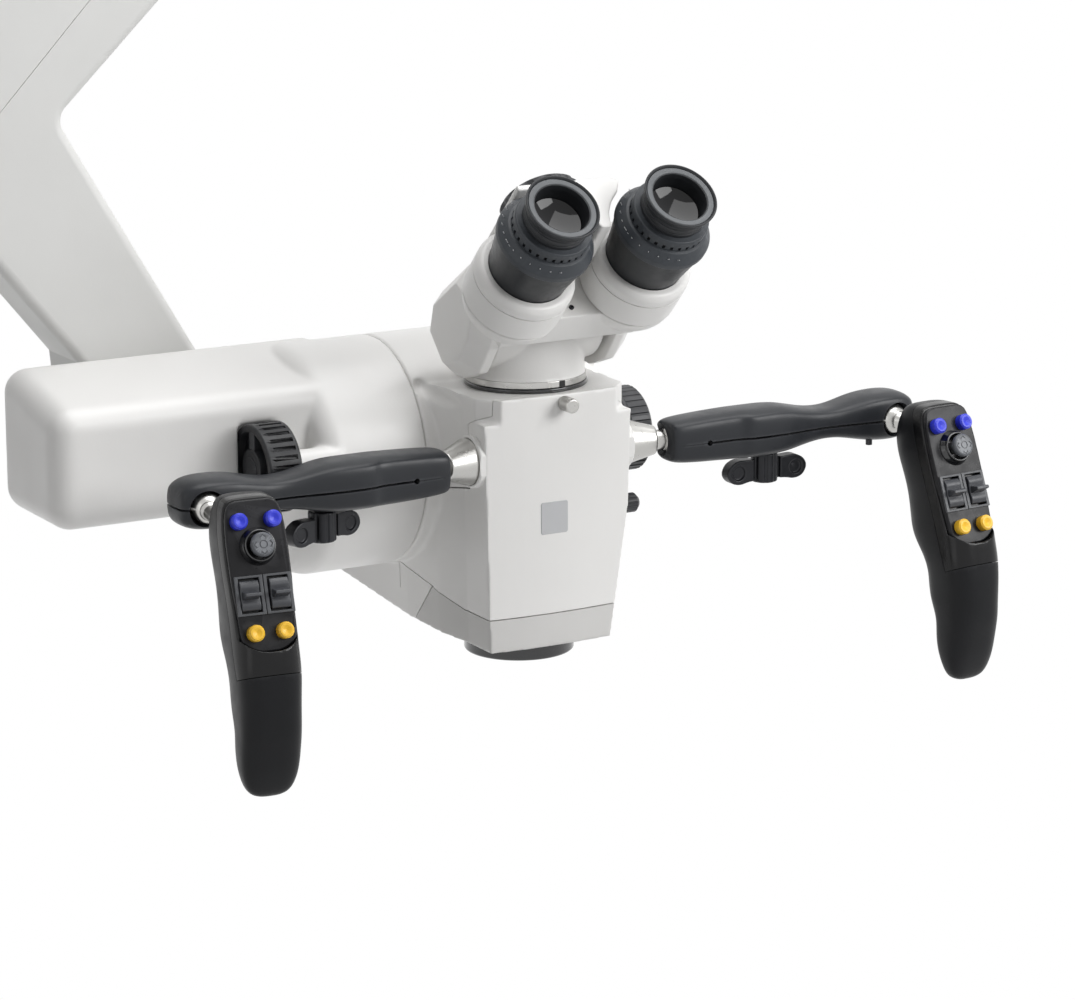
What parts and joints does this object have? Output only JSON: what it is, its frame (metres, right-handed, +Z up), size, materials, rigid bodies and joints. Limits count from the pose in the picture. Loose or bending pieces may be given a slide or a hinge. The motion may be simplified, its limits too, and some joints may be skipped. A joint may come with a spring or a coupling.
{
  "type": "surgical microscope head",
  "caption": "Operating microscope head on a bent carrier arm, with a tilting binocular tube and two ball-jointed handgrips that carry buttons, joysticks and rockers.",
  "frame": {"origin": "centre of the stand flange's top face, on the yaw axis", "axes": "+Z up along the yaw axis, -Y towards the operator, +X to the operator's right"},
  "size_m": [0.507, 0.2742, 0.5382],
  "materials": {
    "cover_white": "satin",
    "arm_paint": "satin",
    "collar_grey": "satin",
    "plain_steel": "satin",
    "bright_chrome": "polished",
    "black_metal": "satin",
    "knob_black": "matte",
    "handle_grey": "satin",
    "grip_black": "satin",
    "panel_grey": "glossy",
    "rubber_black": "matte",
    "lens_glass": "polished",
    "button_blue": "glossy",
    "button_yellow": "glossy",
    "key_grey": "satin"
  },
  "bodies": {
    "stand": {"stand_spindle": "plain_steel"},
    "arm": {"carrier_arm": "arm_paint", "arm_spine_cover": "arm_paint", "yaw_bearings": "bright_chrome"},
    "tilt_unit": {"tilt_housing": "cover_white", "tilt_housing_cover": "cover_white", "tilt_bearings": "bright_chrome", "lateral_pin": "plain_steel"},
    "friction_wheel": {"friction_knob": "knob_black"},
    "microscope": {"optics_housing": "cover_white", "front_cover": "cover_white", "lower_collar": "collar_grey", "tilt_shaft": "plain_steel", "objective_barrel": "black_metal", "dovetail_seat": "black_metal", "tube_base": "cover_white", "handle_sockets": "bright_chrome"},
    "lens": {"objective_lens": "lens_glass"},
    "magnification": {"magnification_knob": "knob_black", "magnification_drum": "plain_steel"},
    "filter": {"filter_knob": "knob_black"},
    "clamp": {"clamp_screw": "bright_chrome"},
    "tube": {"tube_head": "cover_white"},
    "eye_distance": {"pd_knob": "knob_black"},
    "eye_left": {"ocular_housing_left": "cover_white", "eyepiece_barrel_left": "black_metal"},
    "dioptre_left": {"dioptre_ring_left": "black_metal", "eyecup_left": "rubber_black"},
    "eye_right": {"ocular_housing_right": "cover_white", "eyepiece_barrel_right": "black_metal"},
    "dioptre_right": {"dioptre_ring_right": "black_metal", "eyecup_right": "rubber_black"},
    "inner_stud_right": {"inner_ball_stud_right": "bright_chrome"},
    "handle_right": {"handle_arm_right": "handle_grey"},
    "wing_right": {"wing_knob_right": "knob_black"},
    "outer_stud_right": {"outer_ball_stud_right": "bright_chrome"},
    "grip_right": {"grip_shell_right": "grip_black", "grip_panel_right": "panel_grey"},
    "blue_outer_right": {"blue_button_outer_right": "button_blue"},
    "blue_inner_right": {"blue_button_inner_right": "button_blue"},
    "yellow_outer_right": {"yellow_button_outer_right": "button_yellow"},
    "yellow_inner_right": {"yellow_button_inner_right": "button_yellow"},
    "stick_right": {"joystick_right": "knob_black"},
    "rocker_outer_right_key": {"rocker_outer_right": "key_grey"},
    "rocker_inner_right_key": {"rocker_inner_right": "key_grey"},
    "trigger_right_key": {"trigger_right": "knob_black"},
    "inner_stud_left": {"inner_ball_stud_left": "bright_chrome"},
    "handle_left": {"handle_arm_left": "handle_grey"},
    "wing_left": {"wing_knob_left": "knob_black"},
    "outer_stud_left": {"outer_ball_stud_left": "bright_chrome"},
    "grip_left": {"grip_shell_left": "grip_black", "grip_panel_left": "panel_grey"},
    "blue_outer_left": {"blue_button_outer_left": "button_blue"},
    "blue_inner_left": {"blue_button_inner_left": "button_blue"},
    "yellow_outer_left": {"yellow_button_outer_left": "button_yellow"},
    "yellow_inner_left": {"yellow_button_inner_left": "button_yellow"},
    "stick_left": {"joystick_left": "knob_black"},
    "rocker_outer_left_key": {"rocker_outer_left": "key_grey"},
    "rocker_inner_left_key": {"rocker_inner_left": "key_grey"},
    "trigger_left_key": {"trigger_left": "knob_black"}
  },
  "joints": [
    {"name": "yaw", "type": "hinge", "parent": "stand", "child": "arm", "pos_m": [0, 0, -0.05], "axis": [0, 0, 1], "range_deg": [-170, 170]},
    {"name": "lateral_tilt", "type": "hinge", "parent": "arm", "child": "tilt_unit", "pos_m": [-0.163, 0, -0.398], "axis": [0, -1, 0], "range_deg": [-40, 40]},
    {"name": "friction_set", "type": "hinge", "parent": "tilt_unit", "child": "friction_wheel", "pos_m": [-0.139, -0.11, -0.41], "axis": [1, 0, 0], "range_deg": [-90, 90]},
    {"name": "inclination", "type": "hinge", "parent": "tilt_unit", "child": "microscope", "pos_m": [-0.054, -0.0574, -0.4205], "axis": [1, 0, 0], "range_deg": [-30, 90]},
    {"name": "focus", "type": "slide", "parent": "microscope", "child": "lens", "axis": [0, 0, 1], "range_m": [-0.0045, 0.0045]},
    {"name": "magnification_set", "type": "hinge", "parent": "microscope", "child": "magnification", "pos_m": [0.06, -0.108, -0.413], "axis": [1, 0, 0], "continuous": true},
    {"name": "filter_set", "type": "hinge", "parent": "microscope", "child": "filter", "pos_m": [0.055, -0.125, -0.448], "axis": [1, 0, 0], "range_deg": [-45, 45]},
    {"name": "clamp_turn", "type": "hinge", "parent": "microscope", "child": "clamp", "pos_m": [0.002, -0.155, -0.3845], "axis": [0, 1, 0], "range_deg": [-180, 180]},
    {"name": "tube_tilt", "type": "hinge", "parent": "microscope", "child": "tube", "pos_m": [0, -0.124, -0.345], "axis": [1, 0, 0], "range_deg": [-50, 35]},
    {"name": "eye_distance_set", "type": "hinge", "parent": "tube", "child": "eye_distance", "pos_m": [-0.011, -0.15629, -0.28482], "axis": [0, 0.7133, 0.7009], "range_deg": [-90, 90]},
    {"name": "eye_left_slide", "type": "slide", "parent": "tube", "child": "eye_left", "axis": [1, 0, 0], "range_m": [-0.004, 0.004]},
    {"name": "dioptre_left_set", "type": "hinge", "parent": "eye_left", "child": "dioptre_left", "pos_m": [-0.0324, -0.2156, -0.2744], "axis": [0, -0.7009, 0.7133], "range_deg": [-160, 160]},
    {"name": "eye_right_slide", "type": "slide", "parent": "tube", "child": "eye_right", "axis": [1, 0, 0], "range_m": [-0.004, 0.004]},
    {"name": "dioptre_right_set", "type": "hinge", "parent": "eye_right", "child": "dioptre_right", "pos_m": [0.0324, -0.2156, -0.2744], "axis": [0, -0.7009, 0.7133], "range_deg": [-160, 160]},
    {"name": "handle_swivel_right", "type": "hinge", "parent": "microscope", "child": "inner_stud_right", "pos_m": [0.05969, -0.14388, -0.4119], "axis": [0.9659, -0.2588, 0], "range_deg": [-60, 60]},
    {"name": "handle_swing_right", "type": "hinge", "parent": "inner_stud_right", "child": "handle_right", "pos_m": [0.07031, -0.14673, -0.4119], "axis": [0, 0, 1], "range_deg": [-15, 12]},
    {"name": "wing_turn_right", "type": "hinge", "parent": "handle_right", "child": "wing_right", "pos_m": [0.126, -0.143, -0.435], "axis": [0, 0, 1], "range_deg": [-25, 25]},
    {"name": "grip_nod_right", "type": "hinge", "parent": "handle_right", "child": "outer_stud_right", "pos_m": [0.1937, -0.1575, -0.413], "axis": [1, 0, 0], "range_deg": [-12, 12]},
    {"name": "grip_twist_right", "type": "hinge", "parent": "outer_stud_right", "child": "grip_right", "pos_m": [0.1937, -0.1575, -0.413], "axis": [0.2088, -0.9778, -0.0165], "range_deg": [-30, 30]},
    {"name": "blue_outer_right_press", "type": "slide", "parent": "grip_right", "child": "blue_outer_right", "axis": [-0.0892, 0.9261, -0.3665], "range_m": [0, 0.0012], "stiffness_N_per_m": 500, "springref_m": -0.001},
    {"name": "blue_inner_right_press", "type": "slide", "parent": "grip_right", "child": "blue_inner_right", "axis": [-0.0892, 0.9261, -0.3665], "range_m": [0, 0.0012], "stiffness_N_per_m": 500, "springref_m": -0.001},
    {"name": "yellow_outer_right_press", "type": "slide", "parent": "grip_right", "child": "yellow_outer_right", "axis": [-0.0892, 0.9261, -0.3665], "range_m": [0, 0.0012], "stiffness_N_per_m": 500, "springref_m": -0.001},
    {"name": "yellow_inner_right_press", "type": "slide", "parent": "grip_right", "child": "yellow_inner_right", "axis": [-0.0892, 0.9261, -0.3665], "range_m": [0, 0.0012], "stiffness_N_per_m": 500, "springref_m": -0.001},
    {"name": "stick_tilt_right", "type": "hinge", "parent": "grip_right", "child": "stick_right", "pos_m": [0.19344, -0.20801, -0.41993], "axis": [0.9954, 0.0958, 0], "range_deg": [-12, 12], "stiffness_Nm_per_rad": 0.08},
    {"name": "rocker_outer_right_rock", "type": "hinge", "parent": "grip_right", "child": "rocker_outer_right_key", "pos_m": [0.20194, -0.22015, -0.43903], "axis": [0.9954, 0.0958, 0], "range_deg": [-8, 8], "stiffness_Nm_per_rad": 0.08},
    {"name": "rocker_inner_right_rock", "type": "hinge", "parent": "grip_right", "child": "rocker_inner_right_key", "pos_m": [0.18741, -0.22155, -0.43903], "axis": [0.9954, 0.0958, 0], "range_deg": [-8, 8], "stiffness_Nm_per_rad": 0.08},
    {"name": "trigger_right_press", "type": "slide", "parent": "grip_right", "child": "trigger_right_key", "axis": [0.0958, -0.9952, 0.0175], "range_m": [0, 0.0018], "stiffness_N_per_m": 500, "springref_m": -0.001},
    {"name": "handle_swivel_left", "type": "hinge", "parent": "microscope", "child": "inner_stud_left", "pos_m": [-0.05969, -0.14388, -0.4119], "axis": [-0.9659, -0.2588, 0], "range_deg": [-20, 60]},
    {"name": "handle_swing_left", "type": "hinge", "parent": "inner_stud_left", "child": "handle_left", "pos_m": [-0.07031, -0.14673, -0.4119], "axis": [0, 0, -1], "range_deg": [-15, 1]},
    {"name": "wing_turn_left", "type": "hinge", "parent": "handle_left", "child": "wing_left", "pos_m": [-0.126, -0.143, -0.435], "axis": [0, 0, 1], "range_deg": [-25, 25]},
    {"name": "grip_nod_left", "type": "hinge", "parent": "handle_left", "child": "outer_stud_left", "pos_m": [-0.1937, -0.1575, -0.413], "axis": [1, 0, 0], "range_deg": [-12, 12]},
    {"name": "grip_twist_left", "type": "hinge", "parent": "outer_stud_left", "child": "grip_left", "pos_m": [-0.1937, -0.1575, -0.413], "axis": [-0.2086, -0.9767, -0.0511], "range_deg": [-30, 30]},
    {"name": "blue_outer_left_press", "type": "slide", "parent": "grip_left", "child": "blue_outer_left", "axis": [0.0903, 0.9383, -0.3338], "range_m": [0, 0.0012], "stiffness_N_per_m": 500, "springref_m": -0.001},
    {"name": "blue_inner_left_press", "type": "slide", "parent": "grip_left", "child": "blue_inner_left", "axis": [0.0903, 0.9383, -0.3338], "range_m": [0, 0.0012], "stiffness_N_per_m": 500, "springref_m": -0.001},
    {"name": "yellow_outer_left_press", "type": "slide", "parent": "grip_left", "child": "yellow_outer_left", "axis": [0.0903, 0.9383, -0.3338], "range_m": [0, 0.0012], "stiffness_N_per_m": 500, "springref_m": -0.001},
    {"name": "yellow_inner_left_press", "type": "slide", "parent": "grip_left", "child": "yellow_inner_left", "axis": [0.0903, 0.9383, -0.3338], "range_m": [0, 0.0012], "stiffness_N_per_m": 500, "springref_m": -0.001},
    {"name": "stick_tilt_left", "type": "hinge", "parent": "grip_left", "child": "stick_left", "pos_m": [-0.19341, -0.20774, -0.42168], "axis": [-0.9954, 0.0958, 0], "range_deg": [-12, 12], "stiffness_Nm_per_rad": 0.08},
    {"name": "rocker_outer_left_rock", "type": "hinge", "parent": "grip_left", "child": "rocker_outer_left_key", "pos_m": [-0.20185, -0.21921, -0.44122], "axis": [-0.9954, 0.0958, 0], "range_deg": [-8, 8], "stiffness_Nm_per_rad": 0.08},
    {"name": "rocker_inner_left_rock", "type": "hinge", "parent": "grip_left", "child": "rocker_inner_left_key", "pos_m": [-0.18732, -0.22061, -0.44122], "axis": [-0.9954, 0.0958, 0], "range_deg": [-8, 8], "stiffness_Nm_per_rad": 0.08},
    {"name": "trigger_left_press", "type": "slide", "parent": "grip_left", "child": "trigger_left_key", "axis": [-0.0958, -0.9952, -0.0175], "range_m": [0, 0.0018], "stiffness_N_per_m": 500, "springref_m": -0.001}
  ],
  "couplings": [
    {"joint": "eye_distance_set", "follows": "eye_left_slide", "rad_per_m": 392.7},
    {"joint": "eye_right_slide", "follows": "eye_left_slide", "ratio": -1}
  ]
}
